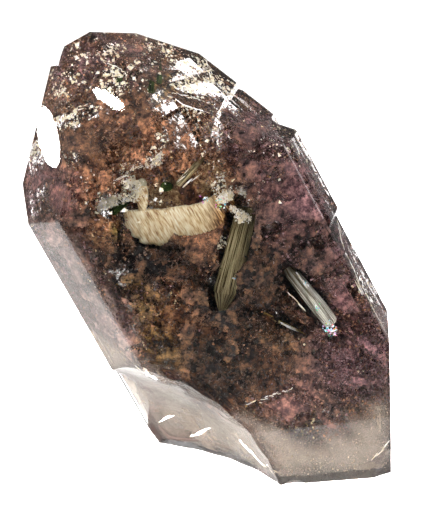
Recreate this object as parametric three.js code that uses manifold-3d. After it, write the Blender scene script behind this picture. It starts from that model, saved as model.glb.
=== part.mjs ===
// A quartz crystal that leans on its broken base, with tourmaline prisms and a water-filled
// cavity sealed inside it.
// Millimetres, +Z up, +X right, +Y away from the front. z = 0 is the face that it rests on.
import * as THREE from "three";
import { ConvexGeometry } from "three/addons/geometries/ConvexGeometry.js";
import * as BufferGeometryUtils from "three/addons/utils/BufferGeometryUtils.js";
import Module from "manifold-3d";

// How the crystal stands: its long axis leans to the left, and it is turned about that axis.
const LEAN_DEG = 27.5;
const TURN_DEG = 12;
const CENTRE = new THREE.Vector3(0, 0, 30.75);

// The part's origin: on the ground, under the middle of the crystal's outline.
const ORIGIN = new THREE.Vector3(0.21, 2.8, 0);

// Quartz's own angles: prism faces stand upright on the long axis, and the normals of the six
// faces of the point make this angle with it.
const POINT_POLAR_DEG = 51.79;
const PRISM_POLAR_DEG = 90;
const AZIMUTH_DEG = {
  front: 270,
  frontRight: 330,
  backRight: 30,
  back: 90,
  backLeft: 150,
  frontLeft: 210,
};

// Distances of the faces from the crystal's centre. PARALLEL holds the smaller crystals that have
// grown on the body with the same angles; each is the body with a few other distances, and a
// layer that ends part of the way down has faces of a lower point, its foot.
const BODY = {
  prism: { front: 9, frontRight: 18.2, backRight: 13.2, back: 15, backLeft: 15.9, frontLeft: 18.2 },
  point: { front: 21.3, frontRight: 21.2, backRight: 17.4, back: 23, backLeft: 24.8, frontLeft: 24.5 },
};
const PARALLEL = [
  {
    prism: { frontRight: 12.9 },
    point: { frontRight: 22.2, backRight: 25.6 },
  },
  {
    prism: { frontRight: 16.6 },
    point: { frontRight: 21.7, backRight: 21.6 },
  },
  {
    prism: { frontRight: 8, backRight: 4 },
    point: { back: 22.2, backLeft: 25.9, frontLeft: 25 },
  },
  {
    prism: { front: 4, frontRight: 9, backRight: 6, frontLeft: 12.75, backLeft: 20.8 },
    point: { front: 16, frontRight: 17, backRight: 18, back: 19, backLeft: 24, frontLeft: 17.4 },
  },
  {
    prism: { frontRight: 12, backRight: 12.9, back: 17, backLeft: 10, frontLeft: 4 },
    point: { front: 18, frontRight: 18, backRight: 17, back: 20.5, backLeft: 18, frontLeft: 18 },
  },
  {
    prism: { front: 8.5, frontRight: 18.8, backRight: 13.8, back: 10.5, backLeft: 4, frontLeft: 4 },
    point: { front: 20, frontRight: 21.4, backRight: 17.6, back: 20, backLeft: 20, frontLeft: 20 },
    foot: { frontRight: 16, backRight: 12.1 },
  },
];

// Where the crystal was broken: a nearly upright break on the right, and curved hollows, each
// given by the ball that fits it.
const BREAK = { x: 26, lean: 0.03 };
const HOLLOWS = [
  { centre: [-15.5, -23, -9], radius: 30, detail: 9 },
  { centre: [51, 4, 17], radius: 25.5, detail: 11 },
  { centre: [51, 0, 5], radius: 25.5, detail: 11 },
  { centre: [30, -14, 0.5], radius: 9, detail: 5 },
  { centre: [12.6, -12.4, -1.6], radius: 3.4, detail: 2 },
  { centre: [18.6, -11.5, -1.2], radius: 2.6, detail: 2 },
  { centre: [17, 4, -11.3], radius: 12, detail: 5 },
  { centre: [3, 9, -9.4], radius: 10, detail: 5 },
];

// The crystal is parted by an upright plane into two halves, so that what is sealed in it has a
// pocket. GAP is the room between the halves and round each sealed piece.
const GAP = 0.3;
const PARTING_Y = -0.5;
const PARTING_BOX = 200;

// Tourmaline: a prism with nine sides, three of them narrow, and low three-sided points. Each runs
// from one end to the other, has a width, and is turned about its own axis by a spin in degrees.
const TOURMALINE_POINT_DEG = 27.3;
const TOURMALINE_NARROW_SHARE = 0.97;
const TOURMALINES = [
  { name: "broad", from: [1.3, -1.9, 23.2], to: [4.9, 0.9, 38.2], width: 3.8, spin: 20, colour: 0x6f6b3c },
  { name: "bright", from: [17.2, -1.6, 21.4], to: [10.7, 0.4, 29.4], width: 2.6, spin: 70, colour: 0xa9a68c },
  { name: "top_needle", from: [-7.5, -1.3, 54.1], to: [-6.9, 3.2, 57.1], width: 0.8, spin: 0, colour: 0x4d6136 },
  { name: "dark_stub", from: [-6.1, -2.4, 42.1], to: [-6.3, 1.6, 41.2], width: 1.7, spin: 10, colour: 0x2c3a1c },
  { name: "left_stub", from: [-13.7, -2.2, 38.6], to: [-11.6, 0.8, 39.8], width: 1.3, spin: 50, colour: 0x4b5f2e },
  { name: "blade", from: [-4.6, -1.8, 42.2], to: [-1.2, 0.9, 45.4], width: 1, spin: 30, colour: 0x8a8a55 },
  { name: "top_stub", from: [-11.9, -1.6, 56.3], to: [-11.7, 1.2, 55.2], width: 0.9, spin: 0, colour: 0x3f5427 },
  { name: "low_needle", from: [7.4, -1.5, 23.1], to: [13.2, 0.5, 19.4], width: 0.6, spin: 0, colour: 0x9b9356 },
];

// The flat cavity that holds water: a bowl-shaped outline in an upright plane, in its own X and Z,
// with a narrow chimney at its left end where the gas bubble floats.
const CAVITY = {
  centre: [-4.2, -0.6, 37.6],
  tiltDeg: 6,
  thickness: 1.7,
  outline: [
    [-7.6, 0.5],
    [-6.9, -2.3],
    [-4.3, -4.2],
    [-0.4, -4.1],
    [4.6, -2.6],
    [7.3, 1.4],
    [6.2, 3.6],
    [2.8, 1.8],
    [-2.6, 0.9],
  ],
};
const CHIMNEY = { centre: [-9.6, -0.6, 40.4], radii: [0.85, 0.75, 2.5] };
const BUBBLE = { centre: [-9.6, -0.6, 43.3], radius: 1.5 };

const QUARTZ_COLOUR = 0xcfc4bb;
const WATER_COLOUR = 0xcbb992;
const ROUND_DETAIL = 3;

// Corners nearer than this are one corner, and a point this little outside a plane is on it.
const SAME_CORNER = 1e-4;
const ON_PLANE = 1e-6;

const wasm = await Module();
wasm.setup();

const radians = THREE.MathUtils.degToRad;

// Turns a direction of the crystal's own frame, whose Z is the long axis, into the part's frame.
function leaning(vector) {
  return vector
    .clone()
    .applyAxisAngle(new THREE.Vector3(0, 0, 1), radians(TURN_DEG))
    .applyAxisAngle(new THREE.Vector3(0, 1, 0), -radians(LEAN_DEG));
}

// A crystal face: its outward normal in the part's frame, and its distance from the origin.
function crystalFace(azimuthDeg, polarDeg, distance) {
  const normal = leaning(direction(azimuthDeg, polarDeg));
  return { normal, distance: distance + normal.dot(CENTRE) };
}

// A unit vector from its azimuth about Z and its angle from Z.
function direction(azimuthDeg, polarDeg) {
  const around = radians(azimuthDeg);
  const down = radians(polarDeg);
  return new THREE.Vector3(
    Math.sin(down) * Math.cos(around),
    Math.sin(down) * Math.sin(around),
    Math.cos(down),
  );
}

function plane(x, y, z, distance) {
  return { normal: new THREE.Vector3(x, y, z).normalize(), distance };
}

// Where three planes meet, or null where they don't.
function corner(a, b, c) {
  const matrix = new THREE.Matrix3().set(
    ...a.normal.toArray(),
    ...b.normal.toArray(),
    ...c.normal.toArray(),
  );
  if (Math.abs(matrix.determinant()) < ON_PLANE) return null;
  return new THREE.Vector3(a.distance, b.distance, c.distance).applyMatrix3(matrix.invert());
}

// The closed solid inside a set of planes.
function convex(planes) {
  const corners = [];
  for (let i = 0; i < planes.length; i++)
    for (let j = i + 1; j < planes.length; j++)
      for (let k = j + 1; k < planes.length; k++) {
        const point = corner(planes[i], planes[j], planes[k]);
        const inside = point && planes.every((p) => p.normal.dot(point) < p.distance + ON_PLANE);
        if (inside && !corners.some((c) => c.distanceTo(point) < SAME_CORNER)) corners.push(point);
      }
  return new ConvexGeometry(corners);
}

function toSolid(geometry, matrix = new THREE.Matrix4()) {
  const bare = geometry.clone().applyMatrix4(matrix);
  bare.deleteAttribute("normal");
  bare.deleteAttribute("uv");
  const merged = BufferGeometryUtils.mergeVertices(bare, SAME_CORNER);
  return new wasm.Manifold(
    new wasm.Mesh({
      numProp: 3,
      vertProperties: new Float32Array(merged.attributes.position.array),
      triVerts: new Uint32Array(merged.index.array),
    }),
  );
}

function toGeometry(solid) {
  const { vertProperties, triVerts } = solid.getMesh();
  const geometry = new THREE.BufferGeometry();
  geometry.setAttribute("position", new THREE.BufferAttribute(vertProperties, 3));
  geometry.setIndex(new THREE.BufferAttribute(triVerts, 1));
  geometry.computeVertexNormals();
  return geometry;
}

function crystal(faces) {
  const prism = { ...BODY.prism, ...faces.prism };
  const point = { ...BODY.point, ...faces.point };
  const planes = [plane(0, 0, -1, 0), plane(1, 0, BREAK.lean, BREAK.x)];
  for (const [side, azimuth] of Object.entries(AZIMUTH_DEG)) {
    planes.push(crystalFace(azimuth, PRISM_POLAR_DEG, prism[side]));
    planes.push(crystalFace(azimuth, POINT_POLAR_DEG, point[side]));
  }
  for (const [side, distance] of Object.entries(faces.foot ?? {}))
    planes.push(crystalFace(AZIMUTH_DEG[side], 180 - POINT_POLAR_DEG, distance));
  return toSolid(convex(planes));
}

function ball({ centre, radius, detail }) {
  const place = new THREE.Matrix4().makeTranslation(...centre);
  return toSolid(new THREE.IcosahedronGeometry(radius, detail), place);
}

function quartz() {
  let solid = crystal({});
  for (const faces of PARALLEL) solid = solid.add(crystal(faces));
  for (const hollow of HOLLOWS) solid = solid.subtract(ball(hollow));
  return solid;
}

// A tourmaline in its own frame, centred, with its long axis on Z, and larger all round by grow.
function tourmalineGeometry({ from, to, width }, grow = 0) {
  const length = new THREE.Vector3(...from).distanceTo(new THREE.Vector3(...to));
  const planes = [];
  for (let side = 0; side < 6; side++) {
    const across = direction(30 + 60 * side, 90);
    planes.push({ normal: across, distance: width / 2 + grow });
  }
  const narrow = (width / 2) * TOURMALINE_NARROW_SHARE * (2 / Math.sqrt(3));
  for (let side = 0; side < 3; side++) {
    planes.push({ normal: direction(120 * side, 90), distance: narrow + grow });
    for (const end of [TOURMALINE_POINT_DEG, 180 - TOURMALINE_POINT_DEG]) {
      const slope = direction(120 * side + (end < 90 ? 0 : 60), end);
      planes.push({ normal: slope, distance: (length / 2) * Math.abs(slope.z) + grow });
    }
  }
  return convex(planes);
}

// Where a tourmaline stands in the part: at the middle of its axis, turned onto it.
function tourmalinePlace({ from, to, spin }) {
  const start = new THREE.Vector3(...from);
  const end = new THREE.Vector3(...to);
  const onto = new THREE.Quaternion().setFromUnitVectors(
    new THREE.Vector3(0, 0, 1),
    end.clone().sub(start).normalize(),
  );
  const spun = new THREE.Quaternion().setFromAxisAngle(new THREE.Vector3(0, 0, 1), radians(spin));
  return { position: start.lerp(end, 0.5), quaternion: onto.multiply(spun) };
}

function tourmalinePocket(tourmaline) {
  const { position, quaternion } = tourmalinePlace(tourmaline);
  const matrix = new THREE.Matrix4().compose(position, quaternion, new THREE.Vector3(1, 1, 1));
  return toSolid(tourmalineGeometry(tourmaline, GAP), matrix);
}

// The cavity's closed outline as a smooth curve, extruded to its thickness about its middle.
function cavityBowl(grow) {
  const points = CAVITY.outline.map(([x, z]) => new THREE.Vector3(x, z, 0));
  const curve = new THREE.CatmullRomCurve3(points, true, "centripetal");
  const rim = curve.getPoints(points.length * ROUND_DETAIL).slice(0, -1);
  const middle = rim.reduce((sum, p) => sum.add(p), new THREE.Vector3()).divideScalar(rim.length);
  const outline = rim.map((p) => {
    const out = p.clone().sub(middle);
    out.setLength(out.length() + grow).add(middle);
    return new THREE.Vector2(out.x, out.y);
  });
  const depth = CAVITY.thickness + 2 * grow;
  const geometry = new THREE.ExtrudeGeometry(new THREE.Shape(outline), {
    depth,
    bevelEnabled: false,
  });
  const matrix = new THREE.Matrix4()
    .makeTranslation(...CAVITY.centre)
    .multiply(new THREE.Matrix4().makeRotationX(radians(90 - CAVITY.tiltDeg)))
    .multiply(new THREE.Matrix4().makeTranslation(0, 0, -depth / 2));
  return toSolid(geometry, matrix);
}

function ellipsoid({ centre, radii }, grow) {
  const matrix = new THREE.Matrix4()
    .makeTranslation(...centre)
    .scale(new THREE.Vector3(...radii.map((r) => r + grow)));
  return toSolid(new THREE.IcosahedronGeometry(1, ROUND_DETAIL), matrix);
}

function cavity(grow) {
  return cavityBowl(grow).add(ellipsoid(CHIMNEY, grow));
}

function water() {
  return cavity(0).subtract(ball({ ...BUBBLE, detail: ROUND_DETAIL }));
}

// What lies on one side of the parting plane, -1 for its front and 1 for its back, half a gap off.
function half(solid, side) {
  const away = side * (GAP + PARTING_BOX) * 0.5;
  const matrix = new THREE.Matrix4().makeTranslation(0, PARTING_Y + away, 0);
  const box = new THREE.BoxGeometry(PARTING_BOX, PARTING_BOX, PARTING_BOX);
  return solid.intersect(toSolid(box, matrix));
}

function addMesh(group, name, geometry, material) {
  const mesh = new THREE.Mesh(geometry, new THREE.MeshStandardMaterial(material));
  mesh.name = name;
  group.add(mesh);
  return mesh;
}

const part = new THREE.Group();
part.position.copy(ORIGIN).negate();

const hollowed = TOURMALINES.reduce(
  (solid, tourmaline) => solid.subtract(tourmalinePocket(tourmaline)),
  quartz().subtract(cavity(GAP)),
);
const clear = { color: QUARTZ_COLOUR, roughness: 0.05, metalness: 0 };
addMesh(part, "quartz_front", toGeometry(half(hollowed, -1)), clear);
addMesh(part, "quartz_back", toGeometry(half(hollowed, 1)), clear);

addMesh(part, "enhydro_water", toGeometry(water()), {
  color: WATER_COLOUR,
  roughness: 0.02,
  metalness: 0,
});

for (const tourmaline of TOURMALINES) {
  const mesh = addMesh(part, "tourmaline_" + tourmaline.name, tourmalineGeometry(tourmaline), {
    color: tourmaline.colour,
    roughness: 0.15,
    metalness: 0,
  });
  const { position, quaternion } = tourmalinePlace(tourmaline);
  mesh.position.copy(position);
  mesh.quaternion.copy(quaternion);
}

export default part;
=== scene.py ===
import itertools
import math

import bmesh
import bpy
import numpy as np
from bpy.props import FloatProperty, FloatVectorProperty, PointerProperty
from mathutils import Matrix, Quaternion, Vector


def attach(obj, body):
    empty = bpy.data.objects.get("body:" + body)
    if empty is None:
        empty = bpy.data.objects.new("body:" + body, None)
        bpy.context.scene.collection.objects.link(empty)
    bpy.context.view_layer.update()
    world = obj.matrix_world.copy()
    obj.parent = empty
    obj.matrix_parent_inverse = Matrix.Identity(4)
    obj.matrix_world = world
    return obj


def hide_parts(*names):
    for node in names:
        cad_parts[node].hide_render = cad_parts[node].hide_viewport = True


bl_info = {
    "name": "Enhydro quartz with tourmaline",
    "version": (1, 0, 0),
    "blender": (4, 5, 0),
    "location": "View3D > Sidebar > Quartz",
    "description": "Dresses a see-through quartz crystal with its flakes, water cavity and tourmaline",
    "category": "Object",
}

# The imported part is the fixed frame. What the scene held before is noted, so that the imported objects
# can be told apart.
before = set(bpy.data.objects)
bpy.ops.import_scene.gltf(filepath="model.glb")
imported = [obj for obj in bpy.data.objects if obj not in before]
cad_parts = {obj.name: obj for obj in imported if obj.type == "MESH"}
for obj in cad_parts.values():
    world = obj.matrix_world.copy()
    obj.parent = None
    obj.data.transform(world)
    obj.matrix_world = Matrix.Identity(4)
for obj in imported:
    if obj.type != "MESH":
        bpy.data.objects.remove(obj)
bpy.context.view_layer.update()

MM = 0.001

# The crystal in its own millimetres. ORIGIN is where the part's frame starts in them.
LEAN_DEG = 27.5
TURN_DEG = 12
CENTRE = np.array([0, 0, 30.75])
ORIGIN = np.array([0.21, 2.8, 0])
POINT_POLAR_DEG = 51.79
PRISM_POLAR_DEG = 90
SIDES = ("front", "front_right", "back_right", "back", "back_left", "front_left")


def by_side(*values):
    """One value for each of the six sides, in the order of SIDES."""
    return dict(zip(SIDES, values))


AZIMUTH_DEG = by_side(270, 330, 30, 90, 150, 210)
BODY_PRISM = by_side(9, 18.2, 13.2, 15, 15.9, 18.2)
BODY_POINT = by_side(21.3, 21.2, 17.4, 23, 24.8, 24.5)

# Each crystal that grew on the body: its prism, point and foot faces that differ from the body's.
PARALLEL = (
    ({}, {}, {}),
    ({"front_right": 12.9}, {"front_right": 22.2, "back_right": 25.6}, {}),
    ({"front_right": 16.6}, {"front_right": 21.7, "back_right": 21.6}, {}),
    (
        {"front_right": 8, "back_right": 4},
        {"back": 22.2, "back_left": 25.9, "front_left": 25},
        {},
    ),
    (
        {"front": 4, "front_right": 9, "back_right": 6, "front_left": 12.75, "back_left": 20.8},
        by_side(16, 17, 18, 19, 24, 17.4),
        {},
    ),
    (
        {"front_right": 12, "back_right": 12.9, "back": 17, "back_left": 10, "front_left": 4},
        by_side(18, 18, 17, 20.5, 18, 18),
        {},
    ),
    (
        by_side(8.5, 18.8, 13.8, 10.5, 4, 4),
        by_side(20, 21.4, 17.6, 20, 20, 20),
        {"front_right": 16, "back_right": 12.1},
    ),
)
BREAK_X = 26
BREAK_LEAN = 0.03

# The broken places: the ball that fits each, the way it faces, how wide it opens and its ripple.
HOLLOWS = (
    ((-15.5, -23, -9), 30, (0.462, 0.675, 0.576), 38, 0.10),
    ((51, 0, 5), 25.5, (-1, 0, 0), 24, 0.06),
    ((30, -14, 0.5), 9, (-0.56, 0.81, 0.17), 50, 0.05),
    ((12.6, -12.4, -1.6), 3.4, (-0.2, 0.76, 0.62), 70, 0.02),
    ((17, 4, -11.3), 12, (0, 0, 1), 32, 0.03),
    ((3, 9, -9.4), 10, (0, 0, 1), 32, 0.03),
)

# The front view: the camera's height over the ground, and the size of a pixel at the crystal.
VIEW_ELEVATION_DEG = 20
VIEW_DISTANCE = 420
VIEW_TARGET = np.array([0.63, 0, 30.85])
PIXEL = 0.14
FRAME_PIXELS = (424, 507)
SENSOR = 36

# How strongly light bends: in quartz, and in what is sealed in it, as seen from inside the quartz.
# Tourmaline bends it a little more. The cavity's wall and bubble are given the shine of a wet skin.
QUARTZ_IOR = 1.544
SEALED_TOURMALINE_IOR = 1.06
WET_SKIN_IOR = 1.3


def linear(colour):
    """The linear RGBA of an sRGB hex colour."""
    channels = [int(colour[i : i + 2], 16) / 255 for i in (1, 3, 5)]
    toned = (c / 12.92 if c <= 0.04045 else ((c + 0.055) / 1.055) ** 2.4 for c in channels)
    return (*toned, 1.0)


def in_part(points):
    """Points of the crystal's own millimetres in the part's frame, in metres."""
    return (np.asarray(points, float) - ORIGIN) * MM


def direction(azimuth_deg, polar_deg):
    """A unit vector of the crystal's own axes, from its azimuth and its angle from the long axis."""
    azimuth = math.radians(azimuth_deg)
    polar = math.radians(polar_deg)
    return np.array(
        [
            math.sin(polar) * math.cos(azimuth),
            math.sin(polar) * math.sin(azimuth),
            math.cos(polar),
        ]
    )


def leaning(vector):
    """Turns a direction of the crystal's own axes to where it points as the crystal leans."""
    turn = Matrix.Rotation(math.radians(TURN_DEG), 3, "Z")
    lean = Matrix.Rotation(-math.radians(LEAN_DEG), 3, "Y")
    return np.array(lean @ turn @ Vector(vector))


def crystal_face(side, polar_deg, distance):
    """A crystal face as its outward normal and its distance from the origin."""
    normal = leaning(direction(AZIMUTH_DEG[side], polar_deg))
    return normal, distance + normal @ CENTRE


def crystal_planes(prism, point, foot):
    """The faces of one crystal, the face it rests on and the break on its right."""
    down = np.array([0, 0, -1.0])
    length = math.hypot(1, BREAK_LEAN)
    broken = np.array([1, 0, BREAK_LEAN]) / length
    planes = [(down, 0.0), (broken, BREAK_X / length)]
    for side, distance in {**BODY_PRISM, **prism}.items():
        planes.append(crystal_face(side, PRISM_POLAR_DEG, distance))
    for side, distance in {**BODY_POINT, **point}.items():
        planes.append(crystal_face(side, POINT_POLAR_DEG, distance))
    for side, distance in foot.items():
        planes.append(crystal_face(side, 180 - POINT_POLAR_DEG, distance))
    return planes


def solid_corners(planes):
    """The corners of the solid inside planes, and for each plane which corners lie on it."""
    normals = np.array([n for n, _ in planes])
    distances = np.array([d for _, d in planes])
    triples = np.array(list(itertools.combinations(range(len(planes)), 3)))
    matrices = normals[triples]
    meets = np.abs(np.linalg.det(matrices)) > 1e-5
    points = np.linalg.solve(matrices[meets], distances[triples[meets]][..., None])[..., 0]
    inside = (points @ normals.T <= distances + 1e-5).all(1)
    corners = np.unique(points[inside].round(4), axis=0)
    on_plane = np.abs(corners @ normals.T - distances) < 1e-3
    return corners, on_plane.T


def bevelled(planes, width):
    """The planes of a solid with a narrow flat added along each edge but those of its base."""
    corners, on_plane = solid_corners(planes)
    added = []
    for (i, (a, _)), (j, (b, _)) in itertools.combinations(enumerate(planes), 2):
        shared = on_plane[i] & on_plane[j]
        if i == 0 or shared.sum() < 2:
            continue
        across = (a + b) / np.linalg.norm(a + b)
        half_angle = (math.pi - math.acos(a @ b)) / 2
        depth = width / (2 * math.tan(half_angle))
        added.append((across, corners[shared][0] @ across - depth))
    return planes + added


def solid_mesh(name, planes):
    """A closed mesh with one flat polygon for each plane."""
    corners, on_plane = solid_corners(planes)
    faces = []
    for (normal, _), on in zip(planes, on_plane):
        index = np.flatnonzero(on)
        if len(index) < 3:
            continue
        middle = corners[index].mean(0)
        first = corners[index[0]] - middle
        second = np.cross(normal, first)
        spokes = corners[index] - middle
        order = np.argsort(np.arctan2(spokes @ second, spokes @ first))
        faces.append(index[order].tolist())
    return new_object(name, in_part(corners), faces)


def new_object(name, vertices, faces, material=None):
    """A mesh object in the scene, from vertices in metres."""
    mesh = bpy.data.meshes.new(name)
    mesh.from_pydata(np.asarray(vertices).tolist(), [], [list(f) for f in faces])
    mesh.validate()
    mesh.update()
    made = bpy.data.objects.new(name, mesh)
    bpy.context.scene.collection.objects.link(made)
    if material is not None:
        mesh.materials.append(material)
    return made


def apply_modifiers(piece):
    """Keeps the mesh that a piece's modifiers make, and drops the modifiers."""
    graph = bpy.context.evaluated_depsgraph_get()
    made = bpy.data.meshes.new_from_object(piece.evaluated_get(graph))
    old = piece.data
    piece.modifiers.clear()
    piece.data = made
    bpy.data.meshes.remove(old)


def combine(piece, other, operation):
    """Joins a closed mesh to a piece, or cuts it away, and removes that mesh."""
    modifier = piece.modifiers.new("combine", "BOOLEAN")
    modifier.operation = operation
    modifier.solver = "MANIFOLD"
    modifier.object = other
    apply_modifiers(piece)
    bpy.data.objects.remove(other)


def lattice_values(cells, seed):
    """A fixed number from 0 to 1 for each whole-numbered cell."""
    mask = 0xFFFFFFFF
    mixed = cells[:, 0] * 374761393 + cells[:, 1] * 668265263 + cells[:, 2] * 1442695041
    mixed = (mixed + seed * 97531357) & mask
    mixed = ((mixed ^ (mixed >> 13)) * 1274126177) & mask
    mixed = ((mixed ^ (mixed >> 15)) * 1103515245) & mask
    return (mixed ^ (mixed >> 16)) / mask


def smooth_noise(points, cell, seed):
    """Noise from 0 to 1 at each point, with blobs about one cell across."""
    scaled = np.asarray(points) / cell
    base = np.floor(scaled).astype(np.int64)
    share = scaled - base
    share = share * share * (3 - 2 * share)
    total = np.zeros(len(scaled))
    for step in itertools.product((0, 1), repeat=3):
        step = np.array(step)
        weight = np.prod(np.where(step, share, 1 - share), axis=1)
        total += weight * lattice_values(base + step, seed)
    return total


def layered_noise(points, cell, seed, layers=3):
    """Noise from 0 to 1 with finer noise on top, each layer half as coarse and half as strong."""
    total = np.zeros(len(points))
    for layer in range(layers):
        total += smooth_noise(points, cell / 2**layer, seed + layer) / 2**layer
    return total / (2 - 0.5 ** (layers - 1))


def ramp(values, low, high):
    """0 below low, 1 above high and smooth between them."""
    share = np.clip((values - low) / (high - low), 0, 1)
    return share * share * (3 - 2 * share)


# The rippled breaks, in millimetres: the mesh's spacing, how far one ripple is from the next and how
# large the rough lumps are.
BREAK_SPACING = 0.45
RIPPLE_SPACING = 0.9
ROUGH_CELL = 2.6
RIPPLE_START = 0.6


def hollow_cutter(name, centre, radius, facing, opening_deg, ripple, seed):
    """A closed cone whose round end is part of a ball, with the ripples of a shell-like break."""
    opening = math.radians(opening_deg)
    rings = max(6, int(radius * opening / BREAK_SPACING))
    turn = Vector((0, 0, 1)).rotation_difference(Vector(facing).normalized())
    girth = 2 * math.pi * radius * math.sin(min(opening, math.pi / 2))
    around = max(12, int(girth / BREAK_SPACING))
    angle = np.linspace(0, 2 * math.pi, around, endpoint=False)
    points = [(0, 0, 1.0)]
    for ring in range(1, rings + 1):
        polar = opening * ring / rings
        height = math.cos(polar)
        reach = math.sin(polar)
        points += [(reach * math.cos(a), reach * math.sin(a), height) for a in angle]
    points = np.array([turn @ Vector(p) for p in points]) * radius
    start = turn @ Vector((math.sin(RIPPLE_START), 0, math.cos(RIPPLE_START))) * radius
    away = np.linalg.norm(points - np.array(start), axis=1)
    waves = np.sin(away / RIPPLE_SPACING + 2.5 * smooth_noise(points, 5, seed))
    waves *= ramp(away, 2, 9)
    rough = layered_noise(points, ROUGH_CELL, seed + 9, 3) - 0.5
    share = np.arange(rings * around + 1)
    edge = ramp(share / len(share), 0.97, 1)
    lift = ripple * (waves + 1.6 * rough) * (1 - edge)
    points *= 1 + lift[:, None] / radius
    vertices = np.vstack([points, np.zeros((1, 3))]) + np.array(centre)
    faces = [(0, 1 + k, 1 + (k + 1) % around) for k in range(around)]
    for ring in range(rings - 1):
        low = 1 + ring * around
        for k in range(around):
            n = (k + 1) % around
            faces.append((low + k, low + around + k, low + around + n, low + n))
    last = 1 + (rings - 1) * around
    tip = len(vertices) - 1
    faces += [(last + (k + 1) % around, last + k, tip) for k in range(around)]
    return new_object(name, in_part(vertices), faces)


def add_node(tree, kind, settings=None, **links):
    """Adds a node with its settings and links. The setting stops holds a colour ramp's places and
    colours. A link is an output socket or a plain value, and its name is the input's own in small
    letters with _ for a space, or i and the input's number."""
    node = tree.nodes.new(kind)
    for key, value in (settings or {}).items():
        if key == "stops":
            elements = node.color_ramp.elements
            for place, _ in value[1:-1]:
                elements.new(place)
            for element, (place, colour) in zip(elements, value):
                element.position = place
                element.color = colour
        else:
            setattr(node, key, value)
    for key, value in links.items():
        if key[0] == "i" and key[1:].isdigit():
            socket = node.inputs[int(key[1:])]
        else:
            socket = next(s for s in node.inputs if s.name.lower().replace(" ", "_") == key)
        if isinstance(value, bpy.types.NodeSocket):
            tree.links.new(value, socket)
        else:
            socket.default_value = value
    return node


def new_material(name):
    """An empty node material and its tree."""
    material = bpy.data.materials.new(name)
    material.use_nodes = True
    material.node_tree.nodes.clear()
    return material, material.node_tree


def tones(deep, light, places):
    """A colour ramp's stops from a deep tone to a light one."""
    shares = np.linspace(0, 1, len(places)) ** 1.4
    return [
        (place, tuple(d + (l - d) * share for d, l in zip(deep, light)) + (1,))
        for place, share in zip(places, shares)
    ]


def speckled_material(name, scale, detail, stops, roughness, **settings):
    """A material of one noise, so many cycles a metre, from the first stop's colour to the last's.
    Further settings go to the shader."""
    material, tree = new_material(name)
    place = add_node(tree, "ShaderNodeTexCoord").outputs["Object"]
    noise = add_node(tree, "ShaderNodeTexNoise", vector=place, scale=scale, detail=detail)
    colour = add_node(tree, "ShaderNodeValToRGB", {"stops": stops}, i0=noise.outputs[0])
    surface = add_node(
        tree,
        "ShaderNodeBsdfPrincipled",
        base_color=colour.outputs[0],
        roughness=roughness,
        **settings,
    )
    add_node(tree, "ShaderNodeOutputMaterial", surface=surface.outputs[0])
    return material


def flaky_material(name, scale, stops, roughness):
    """A material of cells, so many a metre, where each takes its own colour of the stops."""
    material, tree = new_material(name)
    place = add_node(tree, "ShaderNodeTexCoord").outputs["Object"]
    cells = add_node(tree, "ShaderNodeTexVoronoi", vector=place, scale=scale)
    shade = add_node(tree, "ShaderNodeSeparateColor", i0=cells.outputs["Color"])
    colour = add_node(tree, "ShaderNodeValToRGB", {"stops": stops}, i0=shade.outputs[0])
    surface = add_node(
        tree, "ShaderNodeBsdfPrincipled", base_color=colour.outputs[0], roughness=roughness
    )
    add_node(tree, "ShaderNodeOutputMaterial", surface=surface.outputs[0])
    return material


def quartz_material(name, settings, roughness, grain_mm, relief_mm):
    """Quartz, clear and smoky in depth. A grown face is glassy, with faint lines across the prism
    and shallow waves. A broken face has a finer, waxy grain that blurs what is behind it a little."""
    material, tree = new_material(name)
    place = add_node(tree, "ShaderNodeTexCoord").outputs["Object"]
    across = add_node(
        tree,
        "ShaderNodeMapping",
        {"vector_type": "TEXTURE"},
        vector=place,
        rotation=(0, -math.radians(LEAN_DEG), 0),
        scale=(8 * grain_mm * MM, 8 * grain_mm * MM, grain_mm * MM),
    ).outputs[0]
    lines = add_node(tree, "ShaderNodeTexNoise", vector=across, scale=1.0, detail=3.0)
    bump = add_node(
        tree, "ShaderNodeBump", strength=1.0, distance=relief_mm * MM, height=lines.outputs[0]
    )
    shader = add_node(
        tree,
        "ShaderNodeBsdfPrincipled",
        base_color=(1, 1, 1, 1),
        roughness=roughness,
        ior=QUARTZ_IOR,
        transmission_weight=1.0,
        normal=bump.outputs[0],
    )
    smoky = add_node(
        tree,
        "ShaderNodeVolumeAbsorption",
        color=tuple(settings.smoky_colour) + (1,),
        density=settings.smoky_density,
    )
    add_node(
        tree, "ShaderNodeOutputMaterial", surface=shader.outputs[0], volume=smoky.outputs[0]
    )
    return material


def build_quartz(settings):
    """The clear crystal: its parallel growths joined, its worn edges, and its breaks cut away."""
    piece = None
    for number, (prism, point, foot) in enumerate(PARALLEL):
        planes = bevelled(crystal_planes(prism, point, foot), settings.edge_wear / MM)
        made = solid_mesh("quartz_crystal" if number == 0 else "growth", planes)
        if piece is None:
            piece = made
        else:
            combine(piece, made, "UNION")
    for number, (centre, radius, facing, opening, ripple) in enumerate(HOLLOWS):
        cutter = hollow_cutter("break", centre, radius, facing, opening, ripple, 40 + number)
        combine(piece, cutter, "DIFFERENCE")
    mesh = piece.data
    mesh.materials.clear()
    mesh.materials.append(quartz_material("clear_quartz", settings, 0.0, 0.9, 0.002))
    mesh.materials.append(quartz_material("broken_quartz", settings, 0.1, 0.35, 0.012))
    normals = np.array([n for growth in PARALLEL for n, _ in crystal_planes(*growth)])
    for polygon in mesh.polygons:
        middle = np.array(polygon.center) / MM + ORIGIN
        near = [abs(np.linalg.norm(middle - c) - r) < 0.6 for c, r, *_ in HOLLOWS]
        flat = (normals @ np.array(polygon.normal)).max() > 0.9999
        polygon.material_index = 1 if any(near) and not flat else 0
        polygon.use_smooth = polygon.material_index == 1
    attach(piece, "root")
    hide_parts("quartz_front", "quartz_back")
    return piece


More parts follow.
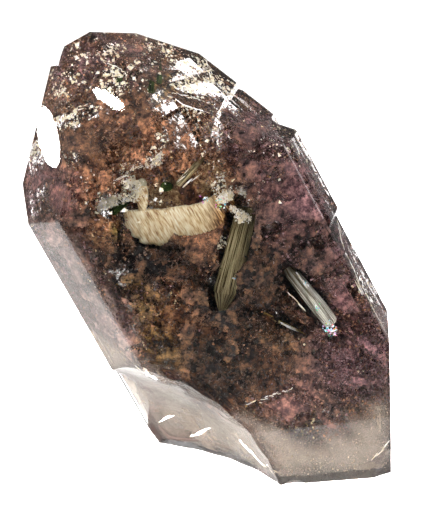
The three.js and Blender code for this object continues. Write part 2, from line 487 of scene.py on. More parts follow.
# The front view as a camera: where it stands, and its own right, up and forward directions.
VIEW_FORWARD = np.array(
    [0, math.cos(math.radians(VIEW_ELEVATION_DEG)), -math.sin(math.radians(VIEW_ELEVATION_DEG))]
)
VIEW_UP = np.array(
    [0, math.sin(math.radians(VIEW_ELEVATION_DEG)), math.cos(math.radians(VIEW_ELEVATION_DEG))]
)
VIEW_POINT = VIEW_TARGET - VIEW_DISTANCE * VIEW_FORWARD
FRONT_SIDES = ("front", "front_left", "front_right")
FRONT_FACES = [crystal_face(s, PRISM_POLAR_DEG, BODY_PRISM[s]) for s in FRONT_SIDES]
FRONT_FACES += [crystal_face(s, POINT_POLAR_DEG, BODY_POINT[s]) for s in FRONT_SIDES]


def view_ray(pixel):
    """The unit ray from the front view's camera through a pixel."""
    focal = VIEW_DISTANCE / PIXEL
    ray = VIEW_FORWARD * focal + VIEW_UP * (FRAME_PIXELS[1] / 2 - pixel[1])
    ray += np.array([pixel[0] - FRAME_PIXELS[0] / 2, 0, 0])
    return ray / np.linalg.norm(ray)


def refracted(rays, normal):
    """How unit rays go on inside the quartz, past a face with this outward normal."""
    ratio = 1 / QUARTZ_IOR
    cosine = -rays @ normal
    bent = ratio * cosine - np.sqrt(1 - ratio**2 * (1 - cosine**2))
    return ratio * rays + bent[:, None] * normal


def seen_at(points):
    """Where the front view sees each sealed point, through the face it is seen through, in the
    view's pixels."""
    best = np.full(len(points), np.inf)
    found = np.zeros((len(points), 2))
    for index, (normal, distance) in enumerate(FRONT_FACES):
        entry = points
        for _ in range(3):
            rays = entry - VIEW_POINT
            rays /= np.linalg.norm(rays, axis=1)[:, None]
            inner = refracted(rays, normal)
            entry = points - inner * ((points @ normal - distance) / (inner @ normal))[:, None]
        others = [f for k, f in enumerate(FRONT_FACES) if k != index]
        outside = np.max([entry @ n - d for n, d in others], axis=0)
        ray = entry - VIEW_POINT
        depth = ray @ VIEW_FORWARD
        focal = VIEW_DISTANCE / PIXEL
        x = FRAME_PIXELS[0] / 2 + focal * ray[:, 0] / depth
        y = FRAME_PIXELS[1] / 2 - focal * (ray @ VIEW_UP) / depth
        nearer = outside < best
        best = np.where(nearer, outside, best)
        found[nearer] = np.stack([x, y], 1)[nearer]
    return found


def sealed_place(pixel, depth):
    """The place so far behind the front faces that the front view sees at a pixel."""
    ray = view_ray(pixel)
    reach, normal = max(((d - n @ VIEW_POINT) / (n @ ray), tuple(n)) for n, d in FRONT_FACES)
    inner = refracted(ray[None], np.array(normal))[0]
    return VIEW_POINT + reach * ray + inner * depth


def crystal_depth(points):
    """How deep each point lies in the crystal, negative outside, in millimetres."""
    depth = np.full(len(points), -np.inf)
    for growth in PARALLEL:
        planes = crystal_planes(*growth)
        normals = np.array([n for n, _ in planes])
        distances = np.array([d for _, d in planes])
        depth = np.maximum(depth, (distances - points @ normals.T).min(1))
    for centre, radius, *_ in HOLLOWS:
        depth = np.minimum(depth, np.linalg.norm(points - np.array(centre), axis=1) - radius)
    return depth


def zone(seen, x, y, across, along, turn_deg, edge):
    """1 inside an ellipse of the front view and 0 outside it, with a soft edge."""
    turn = math.radians(turn_deg)
    dx = seen[:, 0] - x
    dy = seen[:, 1] - y
    a = (dx * math.cos(turn) + dy * math.sin(turn)) / across
    b = (-dx * math.sin(turn) + dy * math.cos(turn)) / along
    return 1 - ramp(np.hypot(a, b), 1 - edge, 1 + edge)


def zones(seen, shapes, edge=0.45):
    """The strongest of several weighted zones, each (x, y, across, along, turn, weight)."""
    total = np.zeros(len(seen))
    for x, y, across, along, turn, weight in shapes:
        total = np.maximum(total, weight * zone(seen, x, y, across, along, turn, edge))
    return total


# The sealed tourmalines: from, to, width, spin about the axis, finish, and how the half width
# changes along the axis.
BLUNT = ((0, 0.9), (0.06, 1.0), (0.94, 1.0), (1, 0.9))
TAPERED = ((0, 0.95), (0.1, 1.0), (0.55, 0.8), (1, 0.12))
SPLAYED = ((0, 0.02), (0.06, 0.35), (0.19, 0.86), (0.2, 0.98), (0.24, 1.0), (0.6, 0.86), (1, 0.74))
RAGGED = ((0, 0.5), (0.03, 0.86), (0.12, 0.94), (0.3, 1.0), (0.9, 0.86), (1, 0.6))
TOURMALINES = {
    "broad": ((1.3, -1.9, 23.2), (4.9, 0.9, 38.2), 3.8, 20, "olive", SPLAYED),
    "bright": ((17.2, -1.6, 21.4), (10.7, 0.4, 29.4), 2.6, 70, "silvery_with_painted_sheen", RAGGED),
    "top_needle": ((-7.5, -1.3, 54.1), (-6.9, 3.2, 57.1), 0.8, 0, "dark", TAPERED),
    "dark_stub": ((-6.1, -2.4, 42.1), (-6.3, 1.6, 41.2), 1.7, 10, "dark", BLUNT),
    "left_stub": ((-13.7, -2.2, 38.6), (-11.6, 0.8, 39.8), 1.3, 50, "dark", BLUNT),
    "blade": ((-4.6, -1.8, 42.2), (-1.2, 0.9, 45.4), 1, 30, "olive", RAGGED),
    "top_stub": ((-11.9, -1.6, 56.3), (-11.7, 1.2, 55.2), 0.9, 0, "dark", BLUNT),
    "low_needle": ((7.4, -1.5, 23.1), (13.2, 0.5, 19.4), 0.6, 0, "golden", TAPERED),
}

# The flat cavity, in its own X and Z, and the narrow lobe at its left end with the gas bubble.
CAVITY_CENTRE = np.array([-4.2, -0.6, 37.6])
CAVITY_TILT_DEG = 6
CAVITY_THICKNESS = 1.7
CAVITY_OUTLINE = (
    (-7.6, 0.5),
    (-6.9, -2.3),
    (-4.3, -4.2),
    (-0.4, -4.1),
    (4.6, -2.6),
    (7.3, 1.4),
    (6.2, 3.6),
    (2.8, 1.8),
    (-2.6, 0.9),
)
LOBE_CENTRE = np.array([-9.6, -0.6, 40.4])
LOBE_RADII = np.array([0.85, 0.75, 2.5])
BUBBLE_CENTRE = np.array([-9.6, -0.6, 42.1])
BUBBLE_RADII = np.array([0.68, 0.6, 0.85])

# Where the front view is clear all the way through, and where only what is sealed has clear stone
# in front of it. Each is x, y, half width, half height, turn and weight, in the view's pixels.
WINDOWS = (
    (112, 80, 13, 14, 0, 1),
    (130, 72, 14, 9, 20, 0.9),
    (85, 110, 15, 9, -20, 1),
    (72, 124, 15, 8, 0, 0.9),
    (68, 74, 9, 7, 0, 1),
    (85, 56, 11, 6, 0, 0.9),
    (110, 50, 8, 5, 0, 0.7),
    (188, 92, 20, 11, 25, 1),
    (183, 66, 16, 13, 35, 0.9),
    (207, 66, 14, 17, -20, 1),
    (157, 46, 19, 7, 12, 0.9),
    (148, 62, 12, 10, 0, 0.8),
    (213, 88, 13, 12, 0, 1),
    (232, 104, 15, 8, 30, 1),
    (152, 160, 11, 5, -30, 1),
    (165, 139, 6, 6, 0, 1),
    (72, 154, 7, 7, 0, 0.8),
)
CORRIDORS = (
    (152, 218, 27, 32, 0, 1),
    (195, 210, 42, 26, -12, 1),
    (232, 198, 14, 16, 20, 0.9),
    (236, 240, 17, 38, 14, 1),
    (222, 290, 15, 24, 14, 1),
    (310, 298, 14, 42, -40, 1),
    (161, 72, 7, 20, 0, 1),
    (170, 187, 12, 12, 0, 1),
    (188, 178, 26, 12, -35, 0.9),
    (118, 206, 22, 12, -20, 1),
    (122, 228, 8, 16, 10, 0.8),
    (135, 190, 16, 14, 0, 1),
    (120, 78, 5, 5, 0, 1),
    (285, 322, 30, 8, 25, 0.8),
)
CORRIDOR_BACK = -0.2

# The stains of the stone as the front view sees them, by mineral. One olive patch is painted light: the
# glow below a tourmaline.
DARK_STAINS = (
    (150, 258, 62, 26, 8, 1.0),
    (95, 262, 32, 26, 0, 0.8),
    (245, 290, 62, 62, 0, 1.0),
    (225, 350, 54, 62, 20, 0.95),
    (300, 262, 44, 42, 0, 0.85),
    (262, 225, 38, 30, 0, 0.7),
    (290, 345, 45, 42, 0, 0.7),
    (78, 216, 38, 7, -12, 1.0),
    (92, 142, 16, 26, 10, 0.6),
    (265, 165, 35, 40, 0, 0.45),
    (384, 392, 10, 8, 0, 0.8),
)
OLIVE_STAINS_AND_PAINTED_GLOW = (
    (125, 300, 34, 44, -30, 0.7),
    (150, 345, 40, 26, 30, 0.6),
    (250, 215, 22, 30, 0, 0.5),
    (85, 240, 14, 14, 0, 0.6),
    # Painted glow: the yellow-green light below the foreshortened prism, painted as olive dust.
    (122, 226, 9, 16, 10, 1.0),
    (215, 190, 20, 20, 0, 0.4),
    (270, 265, 26, 16, 0, 0.6),
    (302, 256, 22, 20, 0, 0.6),
    (268, 335, 22, 14, 20, 0.5),
    (208, 352, 30, 18, 20, 0.4),
    (165, 92, 8, 14, 0, 0.7),
)
MAUVE_STAINS = (
    (310, 230, 52, 110, -24, 0.9),
    (355, 350, 48, 62, 0, 0.9),
    (270, 140, 50, 40, 30, 0.8),
    (90, 62, 60, 30, 5, 0.85),
    (45, 190, 30, 34, 0, 0.7),
    (85, 285, 30, 90, -29.7, 0.8),
    (315, 410, 55, 34, 0, 0.55),
    (195, 403, 40, 10, 28, 0.7),
)

# The pale veils and flecks of the same view: cream near the front faces, tan behind the cavity and
# ivory beside it. The cream ones are partly veils and partly painted light: they lie where the view
# looks through clear stone, and paint the cream glow of the light seen through it.
PALE_VEILS_AND_WINDOW_GLOW = (
    (112, 80, 15, 13, 0, 1),
    (84, 110, 17, 9, -15, 1),
    (70, 124, 12, 7, 0, 0.9),
    (68, 74, 11, 6, 0, 1),
    (84, 56, 12, 5, 0, 0.9),
    (62, 96, 6, 12, 0, 0.5),
    (110, 50, 13, 5, 20, 0.7),
    (190, 94, 20, 9, 25, 0.8),
    (180, 66, 12, 11, 35, 0.6),
    (207, 66, 11, 16, -20, 0.9),
    (157, 46, 22, 8, 12, 0.8),
    (218, 92, 16, 8, 10, 0.9),
    (165, 139, 6, 6, 0, 1),
    (150, 160, 13, 5, -32, 1),
    (72, 154, 8, 8, 0, 0.5),
    (35, 150, 9, 6, 0, 0.9),
    (120, 60, 95, 38, 5, 0.12),
    (250, 140, 60, 60, 0, 0.05),
    (110, 200, 60, 30, 0, 0.06),
)
TAN_VEIL = (
    (190, 187, 44, 13, -30, 1),
    (150, 196, 14, 10, 0, 0.6),
)
IVORY_FLECKS = (
    (113, 203, 18, 7, -25, 1.0),
    (130, 190, 13, 11, 0, 0.8),
    (150, 160, 12, 4, -30, 1.0),
    (128, 172, 16, 3, -32, 0.35),
    (224, 198, 9, 4, 0, 1.0),
    (236, 213, 9, 4, 35, 0.9),
    (243, 188, 5, 9, 0, 0.5),
    (218, 243, 7, 7, 0, 0.3),
    (225, 185, 16, 12, 0, 0.2),
)

# The edge between the stained stone and its pale foot, as the front view sees it, and the crystal's
# left edge with the width of the clear margin along it.
FOOT_EDGE = (
    (60, 300),
    (105, 338),
    (136, 364),
    (159, 381),
    (180, 391),
    (210, 404),
    (233, 413),
    (252, 415),
    (285, 432),
    (311, 438),
    (328, 441),
    (345, 436),
    (360, 423),
    (392, 400),
    (410, 392),
)
LEFT_EDGE = ((23, 210), (157, 445))
MARGIN_WIDTH = 25


def below(seen, line):
    """How far each seen point lies below a line of the front view, in its pixels."""
    line = np.array(line, float)
    return seen[:, 1] - np.interp(seen[:, 0], line[:, 0], line[:, 1])


def margin_share(seen):
    """1 in the margin along the crystal's left edge and 0 right of it."""
    start, end = np.array(LEFT_EDGE, float)
    along = (end - start) / np.linalg.norm(end - start)
    offset = seen - start
    across = offset[:, 0] * along[1] - offset[:, 1] * along[0]
    return (1 - ramp(across, 0.75 * MARGIN_WIDTH, 1.15 * MARGIN_WIDTH)) * ramp(seen[:, 1], 215, 245)


def loosened(seen, points, cell, seed, reach):
    """Seen places shifted by noise, up to half of reach in pixels, so that outlines turn ragged."""
    noise = [layered_noise(points, cell, seed + step) - 0.5 for step in (0, 10)]
    return seen + reach * np.stack(noise, 1)


def stains(points, seen):
    """How dark, olive, mauve and milky the stone is at each point, and the margin's share."""
    seen = loosened(seen, points, 4, 81, 26)
    foot = ramp(below(seen, FOOT_EDGE), -4, 5)
    margin = margin_share(seen)
    stained = (1 - foot) * (1 - margin)
    return {
        "dark": zones(seen, DARK_STAINS) * stained,
        "olive": zones(seen, OLIVE_STAINS_AND_PAINTED_GLOW) * stained,
        "mauve": np.maximum(zones(seen, MAUVE_STAINS), margin) * (1 - foot),
        "milk": np.maximum(foot, 0.35 * margin),
        "margin": margin,
    }


def kept_clear(points, seen):
    """How much of the stone is free to be stained: less in windows and before sealed things."""
    windows = zones(loosened(seen, points, 2, 61, 20), WINDOWS, 0.25)
    corridors = zones(seen, CORRIDORS, 0.15) * (points[:, 1] < CORRIDOR_BACK)
    return 1 - np.maximum(windows, corridors)


def unit_ball(rounds):
    """The vertices and triangles of a ball whose triangles are nearly alike."""
    mesh = bmesh.new()
    bmesh.ops.create_icosphere(mesh, subdivisions=rounds, radius=1)
    vertices = np.array([v.co for v in mesh.verts])
    triangles = np.array([[v.index for v in f.verts] for f in mesh.faces])
    mesh.free()
    return vertices, triangles


def mesh_from_arrays(name, vertices, triangles, material):
    """A mesh object from large arrays of vertices and triangles."""
    mesh = bpy.data.meshes.new(name)
    mesh.vertices.add(len(vertices))
    mesh.vertices.foreach_set("co", np.asarray(vertices, np.float32).ravel())
    mesh.loops.add(3 * len(triangles))
    mesh.loops.foreach_set("vertex_index", np.asarray(triangles, np.int32).ravel())
    mesh.polygons.add(len(triangles))
    mesh.polygons.foreach_set("loop_start", np.arange(0, 3 * len(triangles), 3, dtype=np.int32))
    mesh.update(calc_edges=True)
    mesh.shade_flat()
    mesh.materials.append(material)
    made = bpy.data.objects.new(name, mesh)
    bpy.context.scene.collection.objects.link(made)
    return made


VALUE_KINDS = {1: ("FLOAT", "value"), 3: ("FLOAT_VECTOR", "vector"), 4: ("FLOAT_COLOR", "color")}


def store_values(piece, name, values):
    """Keeps one, three or four numbers with each vertex, for the piece's material."""
    values = np.asarray(values, np.float32)
    kind, field = VALUE_KINDS[1 if values.ndim == 1 else values.shape[1]]
    layer = piece.data.attributes.new(name, kind, "POINT")
    layer.data.foreach_set(field, values.ravel())


# The heart that the dust clouds lie round, and for each cloud how deep it lies, how much that
# wavers, both in millimetres, and how much of it is stained.
HEART = np.array([-1.0, 0.5, 30.0])
DUST_CLOUDS = (
    (0.7, 0.25, 0.2),
    (1.7, 0.6, 0.32),
    (3.0, 0.9, 0.45),
    (4.6, 1.2, 0.6),
    (6.6, 1.5, 0.8),
    (9.0, 1.8, 1.0),
)
FINEST_PATCH = 0.18

# How large the noise is that makes each cloud uneven, patchy, shaded and hazy, in millimetres.
UNEVEN_CELL = 6
PATCH_CELL = 2.8
SHADE_CELL = 4.5
HAZE_CELL = 5
DEEPEST_HAZE = 8


def dust_cloud(number, depth, wobble, fullness, material):
    """Patches of fine mineral dust all round inside the crystal, at a wavering depth, as open sheets
    with no thickness. Each vertex says which mineral it holds and how thick the dust is. Where there
    is none there is no face."""
    seed = 200 + 10 * number
    ways, triangles = unit_ball(6)
    target = depth + wobble * 2 * (layered_noise(ways * 25, 6, seed, 3) - 0.5)
    near = np.zeros(len(ways))
    far = np.full(len(ways), 45.0)
    for _ in range(18):
        reach = (near + far) / 2
        inside = crystal_depth(HEART + ways * reach[:, None]) > target
        near = np.where(inside, reach, near)
        far = np.where(inside, far, reach)
    points = HEART + ways * near[:, None]
    seen = seen_at(points)
    found = stains(points, seen)
    free = kept_clear(points, seen)
    denser = 0.45 * found["margin"] + 0.35 * found["dark"]
    cover = np.minimum(fullness + denser, 1) * free * (1 - found["milk"])
    cover *= 0.55 + 0.9 * ramp(layered_noise(points, UNEVEN_CELL, 311, 2), 0.3, 0.7)
    patch = layered_noise(points, PATCH_CELL, seed + 5, 4)
    ranks = np.linspace(0, 1, 101)
    limit = np.interp(1 - 0.88 * cover, ranks, np.quantile(patch, ranks))
    thickness = patch - limit - (cover < 0.02)
    soft = 0.5 + 0.9 * (layered_noise(points, HAZE_CELL, seed + 7, 2) - 0.5)
    haze = free * soft * (0.75 * found["milk"] + 0.1 * found["margin"]) * (depth < DEEPEST_HAZE)
    kept = ((thickness > -FINEST_PATCH) | (haze > 0.02))[triangles].any(1)
    used = np.unique(triangles[kept])
    order = np.zeros(len(points), int)
    order[used] = np.arange(len(used))
    piece = mesh_from_arrays(
        "dust_cloud_%d" % number, in_part(points[used]), order[triangles[kept]], material
    )
    shade = ramp(layered_noise(points, SHADE_CELL, 331, 2), 0.52, 0.66)
    shade *= (1 - found["milk"]) * (1 - found["margin"])
    found["dark"] = np.maximum(found["dark"], 0.7 * shade)
    mixture = np.stack([found[k] for k in ("dark", "mauve", "milk", "olive")], 1)
    store_values(piece, "mineral", mixture[used])
    store_values(piece, "thickness", thickness[used])
    store_values(piece, "haze", haze[used])
    piece.data.shade_smooth()
    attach(piece, "root")
    return piece


# Where in the noise each mineral's dust goes from its deep to its light tone.
DUST_TONES = {
    "rust": (0.38, 0.48, 0.56, 0.66),
    "dark": (0.45, 0.53, 0.6, 0.68),
    "mauve": (0.4, 0.48, 0.56, 0.66),
    "milk": (0.3, 0.45, 0.6, 0.7),
    "olive": (0.4, 0.48, 0.56, 0.66),
}


def dust_material(settings):
    """Fine iron and chlorite dust in quartz: matt, mottled from rust to near black, mauve, olive
    and milky, in patches a few millimetres across with specks of half a millimetre in them."""
    material, tree = new_material("mineral_dust")
    place = add_node(tree, "ShaderNodeTexCoord").outputs["Object"]
    mineral = add_node(tree, "ShaderNodeAttribute", {"attribute_name": "mineral"})
    thickness = add_node(tree, "ShaderNodeAttribute", {"attribute_name": "thickness"})
    haze = add_node(tree, "ShaderNodeAttribute", {"attribute_name": "haze"})
    masks = add_node(tree, "ShaderNodeSeparateColor", i0=mineral.outputs["Color"])
    speck = add_node(
        tree, "ShaderNodeTexNoise", vector=place, scale=2600.0, detail=3.0, roughness=0.6
    )
    tint = add_node(
        tree, "ShaderNodeTexNoise", vector=place, scale=1000.0, detail=3.0, roughness=0.75
    )
    shades = {}
    for mineral_name, places in DUST_TONES.items():
        deep = getattr(settings, mineral_name + "_deep")
        light = getattr(settings, mineral_name + "_light")
        shades[mineral_name] = add_node(
            tree, "ShaderNodeValToRGB", {"stops": tones(deep, light, places)}, i0=tint.outputs[0]
        ).outputs[0]
    colour = shades["rust"]
    for mask, wanted in (
        (mineral.outputs["Alpha"], "olive"),
        (masks.outputs[1], "mauve"),
        (masks.outputs[0], "dark"),
        (masks.outputs[2], "milk"),
    ):
        colour = add_node(
            tree, "ShaderNodeMix", {"data_type": "RGBA"}, i0=mask, i6=colour, i7=shades[wanted]
        ).outputs[2]
    over = add_node(
        tree,
        "ShaderNodeMath",
        {"operation": "MULTIPLY_ADD"},
        i0=speck.outputs[0],
        i1=2 * FINEST_PATCH,
        i2=thickness.outputs["Fac"],
    )
    patches = add_node(
        tree,
        "ShaderNodeMapRange",
        {"interpolation_type": "SMOOTHSTEP"},
        value=over.outputs[0],
        from_min=FINEST_PATCH,
        from_max=FINEST_PATCH + 0.06,
        to_min=0.0,
        to_max=0.95,
    )
    alpha = add_node(
        tree,
        "ShaderNodeMath",
        {"operation": "MAXIMUM"},
        i0=patches.outputs[0],
        i1=haze.outputs["Fac"],
    )
    shader = add_node(
        tree,
        "ShaderNodeBsdfPrincipled",
        base_color=colour,
        roughness=0.7,
        specular_ior_level=0.2,
        alpha=alpha.outputs[0],
    )
    add_node(tree, "ShaderNodeOutputMaterial", surface=shader.outputs[0])
    return material


def build_dust(settings):
    """The clouds of mineral dust at wavering depths in the stone, the outer ones sparse."""
    material = dust_material(settings)
    for number, (depth, wobble, fullness) in enumerate(DUST_CLOUDS, 1):
        dust_cloud(number, depth, wobble, fullness, material)


def patchy(points, cell, seed, low, high):
    """Clouds of flakes: layered noise sharpened between two levels."""
    return ramp(layered_noise(points, cell, seed, 4), low, high)


# How each kind of flake clumps: the size of a clump in millimetres, the noise's seed and the levels
# between which it goes from none to many.
CLUMPS = {
    "rust": (5, 3, 0.4, 0.64),
    "dark": (4, 23, 0.34, 0.6),
    "mauve": (4, 33, 0.38, 0.62),
    "gold": (3, 43, 0.5, 0.72),
    "milky": (6, 53, 0.3, 0.6),
}


def flake_chance(kind, points, found, free):
    """How likely a flake of one kind is at each point, from what is found there."""
    dark = found["dark"]
    mauve = found["mauve"]
    share = (1 - found["milk"]) * (1 - 0.7 * found["margin"]) * free
    if kind == "rust":
        share *= (1 - 0.75 * dark) * (1 - 0.6 * mauve) * (1 - 0.6 * dark)
    elif kind == "dark":
        share *= np.maximum(dark, 0.2)
    elif kind == "mauve":
        share *= np.maximum(mauve, 0.1) * (1 - 0.8 * dark)
    elif kind == "gold":
        share *= 1 - np.maximum(0.95 * dark, 0.7 * mauve)
    else:
        share = found["milk"] * (1 - found["margin"])
    return share * patchy(points, *CLUMPS[kind])


def turned_by(quaternions):
    """The turning matrix of each quaternion, given w first."""
    w, x, y, z = (quaternions / np.linalg.norm(quaternions, axis=1)[:, None]).T
    rows = (
        (1 - 2 * (y * y + z * z), 2 * (x * y - z * w), 2 * (x * z + y * w)),
        (2 * (x * y + z * w), 1 - 2 * (x * x + z * z), 2 * (y * z - x * w)),
        (2 * (x * z - y * w), 2 * (y * z + x * w), 1 - 2 * (x * x + y * y)),
    )
    return np.moveaxis(np.array(rows), -1, 0)


# Where flakes are strewn, in millimetres: how deep at least, and the boxes of the whole body, the
# ivory flecks by the cavity and the tan veil behind it.
FLAKE_SKIN = 0.5
BODY_BOX = ((-26, -12.2, 0.5), (26, 17.8, 62.5))
FLECK_BOX = ((-20, -3.4, 33), (6, -1.2, 52))
TAN_BOX = ((-12, 1.0, 36), (8, 2.6, 52))
FLECK_FACING = (-0.35, -0.8, 0.45)
TRIES = 60
TRIED_AT_ONCE = 200000
FLECKS_TRIED = 600000


def strewn(counts, rng):
    """Places for each kind of flake, as many as counts says where the stone holds them."""
    chosen = {kind: [] for kind in counts}
    for _ in range(TRIES):
        wanted = [k for k in counts if sum(map(len, chosen[k])) < counts[k]]
        if not wanted:
            break
        points = rng.uniform(*BODY_BOX, (TRIED_AT_ONCE, 3))
        points = points[crystal_depth(points) > FLAKE_SKIN]
        seen = seen_at(points)
        found = stains(points, seen)
        free = kept_clear(points, seen)
        for kind in wanted:
            chance = flake_chance(kind, points, found, free)
            chosen[kind].append(points[rng.random(len(points)) < chance])
    return {kind: np.vstack(chosen[kind])[: counts[kind]] for kind in counts}


def flecks(box, shapes, number, rng):
    """Places for pale flecks in zones of the front view, either in a box round the cavity or, for the
    whole body, in a skin behind the front faces, where they also paint the cream glow of the clear
    windows."""
    points = rng.uniform(*box, (FLECKS_TRIED, 3))
    if box is BODY_BOX:
        behind = np.min([d - points @ n for n, d in FRONT_FACES], axis=0)
        points = points[(behind > VEIL_DEPTHS[0]) & (behind < VEIL_DEPTHS[1])]
        points = points[crystal_depth(points) > FLAKE_SKIN]
    chance = zones(loosened(seen_at(points), points, 3, 111, 24), shapes, 0.3)
    chance *= 0.25 + 0.75 * patchy(points, 1.6, 131, 0.42, 0.6)
    return points[rng.random(len(points)) < chance][:number]


def flake_mesh(name, centres, smallest, largest, flatness, material, rng, facing=None):
    """A joined mesh of tiny closed grains of four faces, at random or roughly facing one way."""
    number = len(centres)
    corners = np.array([[1, 1, 1], [1, -1, -1], [-1, 1, -1], [-1, -1, 1]], float)
    shape = (corners[None] + rng.normal(0, 0.35, (number, 4, 3))) * np.array([1, 1, flatness])
    size = smallest + (largest - smallest) * rng.random(number) ** 2.5
    spins = rng.normal(size=(number, 4))
    if facing is not None:
        turn = Vector((0, 0, 1)).rotation_difference(Vector(facing).normalized())
        spins = np.array(turn) + rng.normal(0, 0.22, (number, 4))
    placed = np.einsum("nij,nkj->nki", turned_by(spins), shape)
    placed *= (size / 2.8)[:, None, None]
    vertices = (placed + centres[:, None]).reshape(-1, 3)
    faces = np.array([[0, 1, 2], [0, 3, 1], [0, 2, 3], [1, 3, 2]])
    faces = (faces[None] + 4 * np.arange(number)[:, None, None]).reshape(-1, 3)
    piece = mesh_from_arrays(name, in_part(vertices), faces, material)
    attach(piece, "root")
    return piece


def flake_material(name, deep, light, roughness):
    """Flakes of one mineral, each of its own shade."""
    return flaky_material(name, 2600.0, tones(deep, light, (0.05, 0.4, 0.7, 0.95)), roughness)


# The flakes strewn through the stone: kind, tone, how many, smallest and largest in millimetres,
# flatness and roughness.
FLAKES = (
    ("rust", "rust", 22000, 0.15, 0.5, 0.35, 0.45),
    ("dark", "dark", 26000, 0.18, 0.6, 0.4, 0.4),
    ("mauve", "mauve", 22000, 0.15, 0.5, 0.35, 0.35),
    ("gold", "gold", 2600, 0.12, 0.45, 0.25, 0.25),
    ("milky", "milk", 3000, 0.12, 0.3, 0.6, 0.6),
)
FLECKS = (
    ("ivory", "ivory", 2600, 0.12, 0.5, 0.3, 0.3),
    # The pale flecks are partly veil and partly painted light: the glow seen through the clear windows.
    ("pale", "ivory", 7600, 0.14, 0.75, 0.3, 0.3),
    ("tan", "tan", 5000, 0.2, 0.6, 0.2, 0.4),
)
VEIL_DEPTHS = (0.6, 3.5)


def build_flakes(settings):
    """The flakes of each mineral, one joined mesh for each, and the ivory flecks by the cavity."""
    rng = np.random.default_rng(1)
    places = strewn({kind: count for kind, _, count, *_ in FLAKES}, rng)
    places["ivory"] = flecks(FLECK_BOX, IVORY_FLECKS, FLECKS[0][2], rng)
    places["pale"] = flecks(BODY_BOX, PALE_VEILS_AND_WINDOW_GLOW, FLECKS[1][2], rng)
    places["tan"] = flecks(TAN_BOX, TAN_VEIL, FLECKS[2][2], rng)
    for kind, tone, _, smallest, largest, flatness, roughness in (*FLAKES, *FLECKS):
        deep = getattr(settings, tone + "_deep")
        light = getattr(settings, tone + "_light")
        material = flake_material(kind + "_flakes", deep, light, roughness)
        facing = FLECK_FACING if kind in ("ivory", "pale", "tan") else None
        flake_mesh(
            kind + "_flakes", places[kind], smallest, largest, flatness, material, rng, facing
        )


# Fine pale lines in the stone as the front view sees them, some of them painted highlights: those
# along the right prism edge and on the ledges at the foot paint light glinting on edges as pale
# splinters. Each is from, to, width in pixels, depth in millimetres, how many strokes make the line
# up and how far these fan out.
PALE_LINES_AND_PAINTED_GLINTS = (
    ((135, 365), (158, 381), 2.6, 1.0, 5, 8),
    ((246, 405), (293, 388), 1.3, 2.0, 22, 34),
    ((312, 385), (329, 397), 1.3, 2.0, 9, 30),
    ((243, 318), (259, 322), 1.8, 5.5, 2, 6),
    ((280, 323), (300, 334), 1.8, 5.5, 3, 8),
    ((182, 187), (200, 172), 1.6, 5.5, 2, 4),
    ((177, 183), (192, 168), 1.0, 5.5, 3, 8),
    ((295, 272), (307, 288), 2.4, 5.5, 3, 5),
    ((286, 290), (306, 311), 1.8, 5.5, 3, 4),
    ((313, 301), (326, 314), 2.2, 5.5, 3, 5),
    ((240, 440), (262, 466), 1.2, 1.0, 4, 6),
    ((262, 464), (280, 476), 1.2, 1.5, 4, 6),
    ((390, 441), (371, 461), 1.6, 0.8, 4, 8),
    # A painted highlight: light glinting along the right prism edge.
    ((336, 220), (346, 252), 1.6, 0.6, 4, 3),
    ((346, 252), (386, 336), 1.6, 0.6, 9, 3),
    # Painted highlights: light glinting on the ledges at the foot.
    ((155, 426), (171, 418), 1.5, 1.5, 3, 6),
    ((190, 437), (211, 431), 1.3, 1.5, 3, 6),
    ((104, 186), (150, 160), 1.2, 5.0, 10, 20),
    ((100, 60), (128, 72), 1.0, 1.0, 8, 26),
    ((60, 122), (88, 104), 1.1, 1.0, 8, 26),
    ((170, 96), (212, 108), 1.1, 1.0, 9, 22),
    ((198, 52), (214, 84), 1.1, 1.0, 8, 20),
)


def stroke(start, end, width, depth):
    """The vertices and faces of one thin closed splinter between two places of the front view."""
    shares = np.array([0, 0.12, 0.45, 0.8, 1])
    halves = np.array([0.15, 0.8, 1, 0.7, 0.1]) * width * PIXEL / 2
    middle = np.array([sealed_place(start + (end - start) * s, depth) for s in shares])
    along = middle[-1] - middle[0]
    across = np.cross(along, VIEW_FORWARD)
    across /= np.linalg.norm(across)
    toward = np.cross(across, along)
    toward /= np.linalg.norm(toward)
    ways = (across, 0.4 * toward, -across, -0.4 * toward)
    vertices = [m + h * way for m, h in zip(middle, halves) for way in ways]
    faces = [(0, 1, 2), (0, 2, 3), (16, 18, 17), (16, 19, 18)]
    for ring in range(4):
        for k in range(4):
            a, b = 4 * ring + k, 4 * ring + (k + 1) % 4
            faces += [(a, a + 4, b + 4), (a, b + 4, b)]
    return np.array(vertices), np.array(faces)


def splinter_and_glint_material(settings):
    """The fresh rims of cracks and needles, bright, cool white and glassy, and the same white as painted
    highlights on edges and ledges.
    """
    stops = tones(settings.ivory_deep, settings.ivory_light, (0.3, 0.42, 0.5, 0.6))
    return speckled_material("bright_splinters", 1800.0, 2.0, stops, 0.25)


